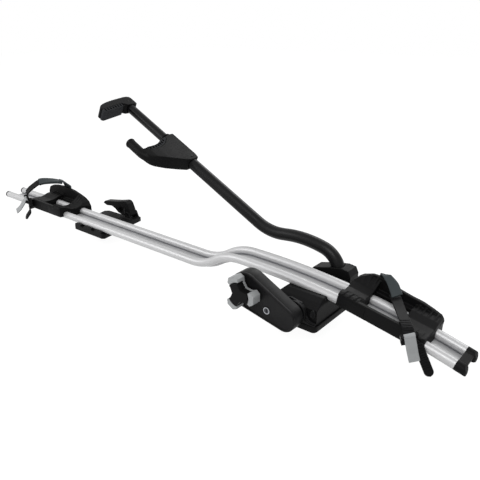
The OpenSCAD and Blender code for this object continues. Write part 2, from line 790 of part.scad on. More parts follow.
// The tube that slides in the arm
module inner_tube() {
    color(black) on_arm() difference() {
        bar_x(inner_x0, inner_x1) tube_ring(inner_r, inner_wall);
        translate([upper_x + 16, 0, 0]) rod_z(jaw_pin_r + run_fit, -jaw_t, jaw_t);
    }
}

// The plug in the inner tube's lower end that the wire pulls on
module inner_plug() {
    color(steel) on_arm() difference() {
        union() {
            rod_x(inner_r - inner_wall - run_fit, inner_x0, inner_x0 + 14);
            rod_x(inner_r - 0.3, inner_x0 - 3, inner_x0 - 0.1);
            rod_x(inner_r / 2, inner_x0 - 2, inner_x0 + 1);
        }
        rod_x(1.5 + run_fit, inner_x0 - 10, inner_x0 + 20);
    }
}

// The straight part of the wire that draws the upper jaw down
module pull_wire() {
    color(steel) on_arm() rod_x(1.5, inner_x0 - 74, inner_x0 + 14);
}

// The upper jaw's outline along the arm and towards the rail
module upper_jaw_outline() {
    translate([upper_x, 0]) polygon([[2, -upper_t / 2 - 2], [28, -upper_t / 2 - 2], [34, -14], [37, -6],
        [36, 8], [30, 44], [25, 66], [20, 81], [14, 92], [8, 97.5], [2, 99], [-1.5, 97], [11.5, 28],
        [2, upper_t / 2]]);
}

// The rubber's outline on the upper jaw's inner face
module upper_pad_outline() {
    translate([upper_x, 0]) polygon([[11.5, 28], [-1.5, 97], [-5, 100], [1 - jaw_pad_t, 99],
        [-1.5 - jaw_pad_t, 95], [11.5 - jaw_pad_t, 29]]);
}

// The upper jaw on the inner tube's end
module upper_jaw() {
    color(soft_black) on_arm() difference() {
        translate([0, 0, -upper_t / 2]) linear_extrude(height = upper_t) upper_jaw_outline();
        rod_x(inner_r + run_fit, upper_x - 10, inner_x1 + seat_fit);
        translate([upper_x + 16, 0, 0]) rod_z(jaw_pin_r + run_fit, -jaw_t, jaw_t);
    }
}

// The slotted rubber on the upper jaw
module upper_jaw_pad() {
    span = 64;
    step = span / jaw_slots;
    color(dark_grey) on_arm() translate([-seat_fit / 2, 0, 0]) difference() {
        translate([0, 0, -upper_t / 2 + 1]) linear_extrude(height = upper_t - 2) upper_pad_outline();
        for (i = [0 : jaw_slots - 1])
            translate([upper_x + 11.5 - (i + 0.5) * step * 0.19, 30 + (i + 0.5) * step, 0])
                translate([-jaw_pad_t / 2 - jaw_slot_d / 2, -jaw_slot_w / 2, upper_t / 2 - 13])
                    cube([jaw_slot_d, jaw_slot_w, 20]);
    }
}

module upper_jaw_pin() {
    color(steel) on_arm() translate([upper_x + 16, 0, 0]) rod_z(jaw_pin_r, -upper_t / 2, upper_t / 2);
}

// The knob housing's outline, drawn in by some depth
module house_outline(inset = 0) {
    link(shaft_p, house_pivot_r - inset, knob_p, house_knob_r - inset);
}

// The tub of the knob housing, with its boss towards the base
module knob_housing() {
    color(soft_black) difference() {
        union() {
            difference() {
                plate_y(-cover_in, -house_inner) house_outline();
                plate_y(-cover_in - 1, -house_inner - house_wall) house_outline(house_wall);
            }
            rod_y(shaft_p, boss_r, -house_inner - 1, house_near_y - bush_flange_t - 0.6);
            rod_y(shaft_p, shaft_r + 5, -cover_in + 2, -house_inner - 1);
            rod_y(knob_p, spindle_r + 4, -house_inner - 10, -house_inner - 1);
        }
        rod_y(shaft_p, shaft_r + run_fit, -cover_in - 1, 0);
        rod_y(knob_p, spindle_r + run_fit, -house_inner - 12, -house_inner - 2);
    }
}

// The cover on the housing's outer side, with a raised rim
module knob_cover() {
    color(black) difference() {
        union() {
            plate_y(-cover_out, -cover_in - 0.1) house_outline();
            plate_y(-cover_out - rim_h, -cover_out + 0.5) difference() {
                house_outline(0.5);
                house_outline(4);
            }
        }
        rod_y(knob_p, spindle_r + run_fit, -cover_out - 1, -cover_in + 1);
        rod_y(lock_p, lock_r + run_fit, -cover_out - 1, -cover_in + 1);
    }
}

// The bright ring round the lock barrel
module lock_bezel() {
    color(steel) difference() {
        rod_y(lock_p, lock_r + 1.5, -cover_out - 1.5, -cover_out - 0.05);
        rod_y(lock_p, lock_r + run_fit, -cover_out - 3, -cover_out + 1);
    }
}

// The lock barrel with its key slot
module lock_barrel() {
    color(steel) difference() {
        rod_y(lock_p, lock_r, -cover_out - 1, -cover_out + 14);
        translate([lock_p[0] - 0.9, -cover_out - 3, lock_p[1] - 4]) cube([1.8, 9, 8]);
    }
}

// The knob's spindle through the housing
module knob_spindle() {
    color(steel) rod_y(knob_p, spindle_r, -knob_out + 4, -house_inner - house_wall - 0.5);
}

// The drum that winds the wire, on the spindle
module wire_drum() {
    y0 = -cover_in + 2;
    color(light_grey) difference() {
        union() {
            rod_y(knob_p, drum_r, y0, y0 + 2);
            rod_y(knob_p, drum_r - 4, y0, y0 + 11);
            rod_y(knob_p, drum_r, y0 + 9, y0 + 11);
        }
        rod_y(knob_p, spindle_r + run_fit, y0 - 1, y0 + 12);
    }
}

// The knob's outline as a solid from y0 to y1: three grips that widen outwards
module knob_star(y0, y1) {
    neck = grip_w - 4;
    rod_y(knob_p, neck + 3, y0, y1);
    for (a = [-2, 118, 238])
        plate_y(y0, y1) polygon([for (q = [[0, -neck - 2], [grip_reach / 2, -neck],
            [grip_reach - 8, -grip_w], [grip_reach, 6 - grip_w], [grip_reach, grip_w - 6],
            [grip_reach - 8, grip_w], [grip_reach / 2, neck], [0, neck + 2]])
            knob_p + [q[0] * cos(a) - q[1] * sin(a), q[0] * sin(a) + q[1] * cos(a)]]);
}

// The knob's back plate with the three grip ends
module knob_body() {
    color(light_grey) difference() {
        knob_star(-knob_out, -knob_in);
        rod_y(knob_p, core_r, -knob_out - 1, -knob_in - knob_back_t);
        rod_y(knob_p, spindle_r + run_fit, -knob_out - 1, -knob_in + 1);
    }
}

// The dark core of the knob between the grip ends
module knob_insert() {
    color(black) difference() {
        intersection() {
            knob_star(-knob_out - insert_t, -knob_in - knob_back_t - 0.1);
            rod_y(knob_p, core_r - seat_fit, -knob_out - insert_t - 1, -knob_in);
        }
        rod_y(knob_p, spindle_r + run_fit, -knob_out + 3, -knob_in + 1);
    }
}

// The room that the rail takes in a tray, straight or along the rail's long bend
module tray_channel(bent) {
    if (bent) translate([0, 0, -front_arc_r]) rotate([0, -8, 0]) translate([0, 0, front_arc_r])
        bend(front_arc_r, 16, -1) channel_outline();
    else bar_x(-tray_back - 30, tray_front + 30) channel_outline();
}

module channel_outline() {
    for (side = [-1, 1]) translate([side * tube_y, 0]) circle(r = channel_r);
    translate([-tube_y - channel_r, -3 * tube_r]) square([channel_r, 3 * tube_r]);
    translate([tube_y, -3 * tube_r]) square([channel_r, 3 * tube_r]);
    translate([-tube_y, -3 * tube_r]) square([tube_pitch, 3 * tube_r - web_drop + 2 * slide_fit]);
}

// A cross-section of the tray over the rail, with the heights of its near and far edges
module saddle(near_n, far_n) {
    polygon([[-tray_near, -3], [-tray_near, near_n], [-tray_near + 8, near_n + 1.5], [-tube_y, near_n - 1],
        [-10, tube_r + 5], [8, tube_r + 4], [tube_y, tube_r + 10], [tray_far - wall_t - 2, far_n - 3],
        [tray_far, far_n], [tray_far, -skirt], [tray_far - wall_t, -skirt]]);
}

// The strap's frame: X along the strap, outwards over the near wall
module at_strap() {
    translate([strap_t0, $cross[1], 0]) rotate([0, 0, -$cross[0]]) children();
}

// The buckle's frame on the lever's pin: the buckle leans along the near wall
module at_buckle() {
    at_strap() translate([0, lever_y, lever_n]) rotate([buckle_lean, 0, 0]) children();
}

// The end of the tray towards the middle of the carrier runs aslant
module tray_plan() {
    polygon([[-tray_back, -tray_near - 1], [-50, -tray_near - 1], [-50, tray_far + 1],
        [-tray_back - 12, tray_far + 1], [-tray_back - 9, tube_y]]);
}

// A wheel tray: near wall, far wall, two saddles over the rail and a bench beside the far tube
module tray(bent, wall) {
    far_wall = [for (q = wall) q + [-tray_back, 0]];
    difference() {
        union() {
            plate_y(-tray_near, -tray_near + wall_t)
                polygon([[-tray_back, -3], [-tray_back, plate_top - 2], [-tray_back + 3, plate_top],
                    [46, plate_top + 1], [62, plate_top - 5], [tray_front, plate_top - 8],
                    [tray_front + 2, -skirt + 1], [70, -skirt], [46, -3]]);
            intersection() {
                union() {
                    bar_x(-tray_back - 14, -49) saddle(plate_top, wall_top - 5);
                    for (t = [-84, -72, -60]) bar_x(t, t + 4) saddle(plate_top + 2, wall_top - 2);
                }
                translate([0, 0, -2 * skirt]) linear_extrude(height = 8 * skirt) tray_plan();
                plate_y(-tray_near - 1, tray_far + 1) polygon(far_wall);
            }
            intersection() {
                union() {
                    bar_x(26, tray_front) saddle(plate_top - 8, wall_top - 17);
                    for (t = [32, 44, 56, 68]) bar_x(t, t + 4) saddle(plate_top - 6.5, wall_top - 14);
                }
                plate_y(-tray_near - 1, tray_far + 1) polygon(far_wall);
            }
            bar_x(-tray_back - 8, tray_front - 6)
                polygon([[tube_y + channel_r + 0.5, -skirt], [tube_y + channel_r + 0.5, tube_r + 3],
                    [tray_far - wall_t + 1, tube_r + 5], [tray_far - 1, tube_r + 5],
                    [tray_far - 1, -skirt]]);
            plate_y(tray_far - wall_t, tray_far) polygon(far_wall);
        }
        tray_channel(bent);
        at_strap() translate([seat_s + seat_fit, -2 * ear_in, -60]) cube([80, 80, 120]);
        at_buckle() translate([block_s - seat_fit, -block_half - seat_fit, block_low - seat_fit])
            cube([20, 2 * (block_half + seat_fit), 80]);
        translate([-tray_back + 4, -tray_near - 1, 0]) cube([plate_len, 2, plate_h]);
        translate([-25, -tray_near - 1, -4]) cube([1, 2, plate_top + 8]);
    }
}

// The bare plate in the tray's near wall
module tray_plate() {
    translate([-tray_back + 4 + seat_fit, -tray_near - 0.4, seat_fit])
        cube([plate_len - 2 * seat_fit, 1.2, plate_h - 2 * seat_fit]);
}

// The strap's run over the wheel, with some room round it
module strap_run(path, room) {
    half = strap_w / 2 + room;
    at_strap() plate_y(strap_mid - half, strap_mid + half) band(path, strap_t + 2 * room);
}

// The strap over the wheel and its tail below the buckle
module strap(path, tail, y0, y1, turn) {
    mid = (y0 + y1) / 2;
    low = tail[0][1];
    strap_run(path, 0);
    at_buckle() plate_y(-9, 9) band([[strap_edge_s, -8], [strap_edge_s, -26]], strap_t);
    at_buckle() plate_y(min(y0, -4), max(y1, 4)) band([[strap_edge_s, -25], tail[0]], strap_t);
    at_buckle() translate([0, mid, low]) rotate([turn, 0, 0]) translate([0, -mid, -low])
        plate_y(y0, y1) band(tail, strap_t);
}

// The buckle's base: a block in the tray's corner with two ears for the pin
module buckle(path) {
    difference() {
        union() {
            at_buckle() translate([block_s, -block_half, block_low])
                cube([seat_s - block_s - seat_fit, 2 * block_half, block_high - block_low]);
            at_buckle() for (side = [-1, 1]) translate([0, side * (ear_in + ear_t / 2), 0])
                plate_y(-ear_t / 2, ear_t / 2) link([5, side > 0 ? -20 : -12], 3.4, [lever_s, 0], 5);
        }
        at_buckle() rod_y([lever_s, 0], buckle_pin_r + run_fit, -40, 40);
        strap_run(path, slide_fit);
    }
}

module buckle_pin() {
    half = ear_in + ear_t;
    at_buckle() rod_y([lever_s, 0], buckle_pin_r, -half, half);
}

// The lever that tightens the strap, swung out on its pin by an angle
module buckle_lever(open) {
    half = lever_w / 2;
    at_buckle() translate([lever_s, 0, 0]) rotate([0, -open, 0]) difference() {
        union() {
            rod_y([0, 0], lever_barrel_r, -half, half);
            plate_y(-half, half) band([[1, 0], [2, -lever_len + 14], [6, -lever_len]], lever_t);
        }
        rod_y([0, 0], buckle_pin_r + run_fit, -40, 40);
    }
}

// A bar across the strap's end
module at_clip(half) {
    at_strap() plate_y(strap_mid - half, strap_mid + half) children();
}

// The bracket that hooks over the far wall and lies on the first stretch of the strap
module strap_clip(path, hook_t, hook_n) {
    half = strap_w / 2 + 1;
    hook_y = tray_far + slide_fit;
    run = (path[1] - path[0]) / norm(path[1] - path[0]);
    low = path[0] + (strap_t / 2 + clip_r + seat_fit) * [-run[1], run[0]] - 2 * run;
    hull() {
        at_clip(half) translate(low) circle(r = clip_r, $fn = 12);
        at_clip(half) translate(low + 9 * run) circle(r = clip_r, $fn = 12);
    }
    hull() {
        at_clip(half) translate(low) circle(r = clip_r, $fn = 12);
        translate([hook_t, hook_y + clip_r, hook_n]) rotate([0, 90, 0])
            cylinder(r = clip_r, h = 36, $fn = 12);
    }
    translate([hook_t + 1, hook_y, wall_top - 14]) cube([34, 2 * clip_r, hook_n - wall_top + 14]);
}

// The front tray sits on the rail's long bend, and the rear one is its mirror image on the straight stretch
module at_front() {
    on_arc(front_tray_s) children();
}

module at_rear() {
    $cross = rear_cross;
    translate([rear_tray_x, 0, rear_axis_z]) mirror([1, 0, 0]) children();
}

module front_tray() {
    color(black) at_front() tray(true, front_wall);
}

module front_plate() {
    color(soft_black) at_front() tray_plate();
}

module front_strap() {
    color(black) at_front() strap(front_strap_path, front_tail, 4, 21, 9);
}

module front_strap_clip() {
    color(dark_grey) at_front() strap_clip(front_strap_path, -58, wall_top + 9.5);
}

module front_buckle() {
    color(black) at_front() buckle(front_strap_path);
}

module front_buckle_pin() {
    color(steel) at_front() buckle_pin();
}

module front_buckle_lever() {
    color(light_grey) at_front() buckle_lever(0);
}

module rear_tray() {
    color(black) at_rear() tray(false, rear_wall);
}

module rear_plate() {
    color(soft_black) at_rear() tray_plate();
}

module rear_strap() {
    color(black) at_rear() strap(rear_strap_path, rear_tail, -29, -lever_w / 2 - 0.7, 0);
}

// The ribbed pad on the inside of the rear strap's arch
module rear_strap_pad() {
    half = strap_w / 2 + 1;
    drop = strap_t / 2 + 2 + 5 * seat_fit;
    path = [for (i = [1 : 4]) rear_strap_path[i] - [0, drop]];
    color(dark_grey) at_rear() at_strap() for (i = [0 : 2])
        link_y(strap_mid - half, strap_mid + half, path[i], 2, path[i + 1], 2);
}

module rear_strap_clip() {
    color(dark_grey) at_rear() strap_clip(rear_strap_path, -4, wall_top + 10);
}

module rear_buckle() {
    color(black) at_rear() buckle(rear_strap_path);
}

module rear_buckle_pin() {
    color(steel) at_rear() buckle_pin();
}

module rear_buckle_lever() {
    color(light_grey) at_rear() buckle_lever(rear_lever_out);
}

// The rear foot's plan about its own middle
module foot_plan() {
    polygon([[-27, -foot_near], [94, -foot_near], [100, -foot_near + 6], [66, foot_far], [20, foot_far],
        [8, foot_far - 20], [-52, foot_far - 22], [-62, foot_far - 32]]);
}

module at_foot() {
    translate([rear_foot_x, 0, 0]) children();
}

// The rear foot under the rail, with cheeks beside the near tube and ears for the clamp lever
module rear_foot() {
    cheek_in = tube_y + tube_r + slide_fit;
    bolt_z = rear_axis_z + nut_z;
    head_top = pad_t + foot_head_h;
    color(black) at_foot() difference() {
        union() {
            translate([0, 0, pad_t]) linear_extrude(height = foot_deck_z - pad_t) foot_plan();
            for (x = [[-25, 0], [14, 48], [62, 92]])
                translate([x[0], -foot_near, pad_t])
                    cube([x[1] - x[0], foot_near - cheek_in, rear_axis_z - 6]);
            translate([-50, cheek_in, pad_t]) cube([100, 4, rear_axis_z - 6]);
            for (side = [-1, 1])
                translate([0, clamp_y + side * (clamp_w / 2 + slide_fit + clamp_ear_t / 2), 0])
                plate_y(-clamp_ear_t / 2, clamp_ear_t / 2) {
                    translate([clamp_x, clamp_pivot_z]) circle(r = 8);
                    polygon([[clamp_x - 14, foot_deck_z - 1], [clamp_x - 7, clamp_pivot_z + 3],
                        [clamp_x + 7, clamp_pivot_z + 3], [clamp_x + 14, foot_deck_z - 1]]);
                }
        }
        rod_y([clamp_x, clamp_pivot_z], clamp_pin_r + run_fit, clamp_y - 40, clamp_y + 40);
        translate([-150, -slot_w / 2 - slot_lip - slide_fit, rear_axis_z - slot_bottom - slide_fit])
            cube([300, slot_w + 2 * slot_lip + 2 * slide_fit, 20]);
        rod_z(rail_bolt_r + run_fit, 0, bolt_z);
        rod_z(bolt_head_r + seat_fit, 0, head_top);
        translate([0, foot_hole_y, 0]) rod_z(foot_hole_r, 0, rear_axis_z);
    }
}

// The rubber under the rear foot, near and far
module rear_foot_pads() {
    color(soft_black) at_foot() {
        translate([-24, -foot_near + 3, 0]) cube([110, foot_near - 12, pad_t]);
        translate([-50, 70, 0]) cube([112, foot_far - 94, pad_t]);
    }
}

module rear_foot_nut() {
    color(steel) at_foot() translate([0, 0, rear_axis_z]) slot_nut();
}

module rear_foot_bolt() {
    head_z = pad_t + foot_head_h;
    color(steel) at_foot() translate([0, 0, rear_axis_z])
        slot_bolt(rear_axis_z + nut_z - head_z, foot_head_h - seat_fit);
}

// The horn-shaped lever that clamps the rear foot to its bar
module clamp_lever() {
    p = [clamp_x, clamp_pivot_z];
    color(black) at_foot() translate([0, clamp_y, 0]) difference() {
        plate_y(-clamp_w / 2, clamp_w / 2) difference() {
            union() {
                translate(p) circle(r = 8);
                polygon([for (q = [[8, -2], [6, 14], [-2, 31], [-10, 37], [-20, 36], [-50, 29], [-84, 23],
                    [-108, 19], [-115, 12], [-99, 7], [-76, 10], [-60, 5], [-48, -4], [-30, -8],
                    [0, -8]]) p + q]);
            }
            polygon([for (q = [[-46, 4], [-34, -2], [-16, -2], [-16, 14], [-36, 14]]) p + q]);
        }
        rod_y(p, clamp_pin_r + run_fit, -clamp_w, clamp_w);
    }
}

module clamp_pin() {
    half = clamp_w / 2 + slide_fit + clamp_ear_t;
    color(steel) at_foot() rod_y([clamp_x, clamp_pivot_z], clamp_pin_r, clamp_y - half, clamp_y + half);
}

rail();
rail_front_cap();
rail_rear_caps();
rail_bolts();
rail_nuts();
base_foot();
base_pad();
base_housing();
base_cover();
base_plug();
shaft_bushes();
arm_shaft();
arm_hub();
arm_tube();
arm_guide();
lower_jaw();
lower_jaw_pad();
lower_jaw_screws();
knob_housing();
knob_cover();
lock_bezel();
lock_barrel();
knob_spindle();
wire_drum();
knob_body();
knob_insert();
inner_tube();
inner_plug();
pull_wire();
upper_jaw();
upper_jaw_pad();
upper_jaw_pin();
front_tray();
front_plate();
front_strap();
front_strap_clip();
front_buckle();
front_buckle_pin();
front_buckle_lever();
rear_tray();
rear_plate();
rear_strap();
rear_strap_pad();
rear_strap_clip();
rear_buckle();
rear_buckle_pin();
rear_buckle_lever();
rear_foot();
rear_foot_pads();
rear_foot_bolt();
rear_foot_nut();
clamp_lever();
clamp_pin();
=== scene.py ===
# %% [markdown]
# # Roof mounted bike carrier
# An upright carrier for one bicycle on a pair of roof bars. A two-tube alloy rail lies on a front base and a rear
# foot, a black arm folds up from the base to hold the bicycle's frame, and each wheel is strapped into a tray.
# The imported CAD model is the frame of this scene, so every piece below sits where its CAD node sits.

# %% Load the frame
import json
import math

import bmesh
import bpy
from mathutils import Matrix, Vector


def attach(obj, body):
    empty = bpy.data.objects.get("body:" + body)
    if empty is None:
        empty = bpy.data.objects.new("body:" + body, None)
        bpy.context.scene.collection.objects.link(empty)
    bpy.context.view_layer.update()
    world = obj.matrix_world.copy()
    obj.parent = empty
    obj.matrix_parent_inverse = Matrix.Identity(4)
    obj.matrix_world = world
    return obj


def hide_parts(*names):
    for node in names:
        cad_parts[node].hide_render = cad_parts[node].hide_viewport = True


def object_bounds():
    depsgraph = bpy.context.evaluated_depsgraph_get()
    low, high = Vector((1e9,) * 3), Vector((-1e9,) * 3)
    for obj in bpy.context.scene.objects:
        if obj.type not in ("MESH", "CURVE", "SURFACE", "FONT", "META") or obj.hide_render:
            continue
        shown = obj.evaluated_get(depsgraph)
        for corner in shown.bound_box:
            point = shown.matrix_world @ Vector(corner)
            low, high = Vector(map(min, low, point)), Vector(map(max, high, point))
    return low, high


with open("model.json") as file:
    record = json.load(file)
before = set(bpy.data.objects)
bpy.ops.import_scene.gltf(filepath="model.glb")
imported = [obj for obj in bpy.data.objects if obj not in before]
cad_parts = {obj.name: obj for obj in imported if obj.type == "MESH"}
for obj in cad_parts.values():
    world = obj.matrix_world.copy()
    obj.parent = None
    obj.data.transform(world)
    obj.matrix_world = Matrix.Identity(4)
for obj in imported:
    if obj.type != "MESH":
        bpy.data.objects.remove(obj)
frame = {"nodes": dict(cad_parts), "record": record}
cad_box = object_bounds()
nodes = frame["nodes"]
record = frame["record"]
body_of = {n: b for b, members in record["behaviour"]["bodies"].items() for n in members}
slot_of = {s["node"]: s["material_slot"] for s in record["subparts"]}
scene = bpy.context.scene
MM = 0.001
print("nodes", len(nodes), "box", [list(corner) for corner in cad_box])

# %% [markdown]
# ## Camera
# The photograph looks down on the front end of the rail from the knob's side. The place and the direction were
# fitted to the rail's two tubes and the arm, so the camera is set from those numbers and not moved by eye. A camera
# looks along its own minus Z, so its matrix is built from its right, its up and its backward direction.

# %% Camera
EYE = Vector((0.492, -0.846, 0.547))
AHEAD = Vector((-0.589, 0.715, -0.377)).normalized()
LENS_MM, SENSOR_MM = 40.4, 36
right = AHEAD.cross(Vector((0, 0, 1))).normalized()
turn = Matrix((right, right.cross(AHEAD), -AHEAD)).transposed().to_4x4()
lens_data = bpy.data.cameras.new("photo_camera")
lens_data.lens = LENS_MM
lens_data.sensor_width = SENSOR_MM
camera = bpy.data.objects.new("photo_camera", lens_data)
camera.matrix_world = Matrix.Translation(EYE) @ turn
scene.collection.objects.link(camera)
scene.camera = camera
print("camera at", list(EYE))

# %% [markdown]
# ## Small helpers for nodes and colours
# Every shader and every Geometry Nodes tree is made of the same steps: add a node, set its options, fill its inputs.
# One function does that, and a value that is a socket becomes a link. Colours are written as the hex values that
# an eye reads off a screen, and one function turns them to the linear numbers that the renderer works in.

# %% Helpers for nodes and colours
def add(tree, kind, options=None, inputs=None):
    """Adds a node to a tree, sets its options and fills or links its inputs."""
    node = tree.nodes.new(kind)
    for name, value in (options or {}).items():
        setattr(node, name, value)
    for key, value in (inputs or {}).items():
        if isinstance(value, bpy.types.NodeSocket):
            tree.links.new(value, node.inputs[key])
        else:
            node.inputs[key].default_value = value
    return node


def clear_tree(owner):
    """An empty node tree for a material or a world."""
    owner.use_nodes = True
    owner.node_tree.nodes.clear()
    return owner.node_tree


def ink(hex_colour):
    """Linear colour from a hex value, by the sRGB standard's curve."""
    parts = [int(hex_colour[i:i + 2], 16) / 255 for i in (1, 3, 5)]
    return [c / 12.92 if c <= 0.04045 else ((c + 0.055) / 1.055) ** 2.4 for c in parts] + [1.0]


print("white is", ink("#ffffff"))

# %% [markdown]
# ## Floor
# The photograph has a plain white ground. The floor is pale, and what the camera sees of it is mostly white light
# with a share of real shading left in, so a faint shadow stays. The glow is a little above white, so that the open
# ground ends at white with no horizon. Metal that mirrors the ground sees the same white.

# %% Floor
GROUND_HALF, GROUND_GAP = 9.0, 2 * MM
GLOW_SHARE, GLOW_STRENGTH = 0.85, 1.12


def seen_directly(tree):
    """1 for what the camera sees straight, in a mirror or through glass, and 0 for light on its way."""
    path = add(tree, "ShaderNodeLightPath")
    seen = add(tree, "ShaderNodeMath", {"operation": "MAXIMUM"},
               {0: path.outputs["Is Camera Ray"], 1: path.outputs["Is Glossy Ray"]})
    return add(tree, "ShaderNodeMath", {"operation": "MAXIMUM"},
               {0: seen.outputs[0], 1: path.outputs["Is Transmission Ray"]}).outputs[0]


floor_paper = bpy.data.materials.new("white_ground_paper")
tree = clear_tree(floor_paper)
paper = add(tree, "ShaderNodeBsdfDiffuse", inputs={"Color": ink("#f0f0f0")})
glow = add(tree, "ShaderNodeEmission", inputs={"Color": ink("#ffffff"), "Strength": GLOW_STRENGTH})
share = add(tree, "ShaderNodeMath", {"operation": "MULTIPLY"}, {0: seen_directly(tree), 1: GLOW_SHARE})
ground = add(tree, "ShaderNodeMixShader", inputs={0: share.outputs[0], 1: paper.outputs[0], 2: glow.outputs[0]})
add(tree, "ShaderNodeOutputMaterial", inputs={"Surface": ground.outputs[0]})
floor_mesh = bpy.data.meshes.new("ground")
floor_z = cad_box[0][2] - GROUND_GAP
corners = [(x * GROUND_HALF, y * GROUND_HALF, floor_z) for x, y in ((-1, -1), (1, -1), (1, 1), (-1, 1))]
floor_mesh.from_pydata(corners, [], [(0, 1, 2, 3)])
floor = bpy.data.objects.new("ground", floor_mesh)
floor.data.materials.append(floor_paper)
scene.collection.objects.link(floor)
print("floor at", round(floor_z, 4))

# %% [markdown]
# ## Light
# The world fills the shadows, and the camera sees it as plain white. Three large soft lamps give the tubes their
# long highlights: one over the camera, one from the rear end and one from behind. Each lamp has its place and its two
# sides in metres, and its power in watts.

# %% World and lamps
ROOM_LIGHT = 0.42
LAMPS = {
    "key": ((0.5, -1.5, 1.7), (1.5, 1.0), 26),
    "side": ((-1.6, -1.1, 1.1), (1.2, 1.0), 14),
    "back": ((-0.2, 1.7, 1.4), (2.0, 0.8), 18),
}
LAMPS_AIM = Vector((-0.3, 0, 0.1))

world = bpy.data.worlds.new("studio")
scene.world = world
tree = clear_tree(world)
room = add(tree, "ShaderNodeBackground", inputs={"Color": ink("#ffffff"), "Strength": ROOM_LIGHT})
white = add(tree, "ShaderNodeBackground", inputs={"Color": ink("#ffffff"), "Strength": 1.0})
both = add(tree, "ShaderNodeMixShader", inputs={0: seen_directly(tree), 1: room.outputs[0], 2: white.outputs[0]})
add(tree, "ShaderNodeOutputWorld", inputs={"Surface": both.outputs[0]})
for name, (place, size, watts) in LAMPS.items():
    lamp = bpy.data.lights.new(name + "_softbox", "AREA")
    lamp.shape = "RECTANGLE"
    lamp.size, lamp.size_y = size
    lamp.energy = watts
    holder = bpy.data.objects.new(name + "_softbox", lamp)
    holder.location = place
    holder.rotation_euler = (LAMPS_AIM - Vector(place)).to_track_quat("-Z", "Y").to_euler()
    scene.collection.objects.link(holder)
scene.view_settings.view_transform = "Standard"
print("lamps", len(LAMPS))

# %% [markdown]
# ## Moulded plastics and rubber
# Most of the carrier is glass-filled nylon, moulded in a spark-eroded tool: black, with a fine even grain that
# breaks up the highlight, and a slow change of tone where the melt flowed. The covers come from a smoother tool and
# shine a little more. The grain is drawn at its real size, and the slow tone at the size of a hand. Object
# coordinates are in metres, so a noise for a size in millimetres gets that many repeats in a metre as its scale.
# The jaws' rubber also gets painted shade in its slots: an ambient occlusion node tells an open face from a hollow,
# and the hollow's colour is blended towards near black.

# %% Moulded finishes
FLOW_MM, FLOW_SATIN = 45, 0.06
GRAIN_DEPTH_MM = 0.2
NOISE_LOW, NOISE_HIGH = 0.3, 0.7
PLASTIC_IOR = 1.53
# The near black that is painted into hollows as shade, and the occlusion range over which it fades in.
CREVICE_LOW, CREVICE_HIGH, CREVICE_PAINTED_SHADE = 0.35, 0.75, "#020202"


def noise(tree, place, size_mm, detail):
    return add(tree, "ShaderNodeTexNoise", inputs={"Vector": place, "Scale": 1 / MM / size_mm, "Detail": detail})


def blend(tree, share, low, high):
    """A colour between two, each a value or a socket."""
    return add(tree, "ShaderNodeMix", {"data_type": "RGBA"}, {0: share, 6: low, 7: high}).outputs[2]


def around(tree, value, middle, spread):
    """A noise's middle range turned to a number that stays within a spread of its middle."""
    return add(tree, "ShaderNodeMapRange",
               inputs={"Value": value, "From Min": NOISE_LOW, "From Max": NOISE_HIGH,
                       "To Min": middle - spread, "To Max": middle + spread}).outputs["Result"]


def unshaded_share(tree, reach_mm, low, high):
    """1 on an open face, falling to 0 in a hollow of the piece itself: the mask for painting shade into hollows."""
    hollow = add(tree, "ShaderNodeAmbientOcclusion", {"samples": 8, "only_local": True},
                 {"Distance": reach_mm * MM})
    return add(tree, "ShaderNodeMapRange",
               inputs={"Value": hollow.outputs["AO"], "From Min": low, "From Max": high}).outputs["Result"]


def moulded(name, tone, shade, rough, grain_mm, relief, gloss, crevice_shade_mm=0):
    material = bpy.data.materials.new(name)
    tree = clear_tree(material)
    place = add(tree, "ShaderNodeTexCoord").outputs["Object"]
    flow = noise(tree, place, FLOW_MM, 3.0).outputs["Fac"]
    grain = noise(tree, place, grain_mm, 2.0).outputs["Fac"]
    colour = blend(tree, flow, ink(shade), ink(tone))
    # Painted shade: the colour falls to near black in the piece's own hollows.
    if crevice_shade_mm:
        out_of_shade = unshaded_share(tree, crevice_shade_mm, CREVICE_LOW, CREVICE_HIGH)
        colour = blend(tree, out_of_shade, ink(CREVICE_PAINTED_SHADE), colour)
    satin = around(tree, flow, rough, FLOW_SATIN)
    bump = add(tree, "ShaderNodeBump",
               inputs={"Strength": relief, "Distance": GRAIN_DEPTH_MM * MM, "Height": grain})
    surface = add(tree, "ShaderNodeBsdfPrincipled",
                  inputs={"Base Color": colour, "Roughness": satin, "Normal": bump.outputs["Normal"],
                          "Specular IOR Level": gloss, "IOR": PLASTIC_IOR})
    add(tree, "ShaderNodeOutputMaterial", inputs={"Surface": surface.outputs[0]})
    return material


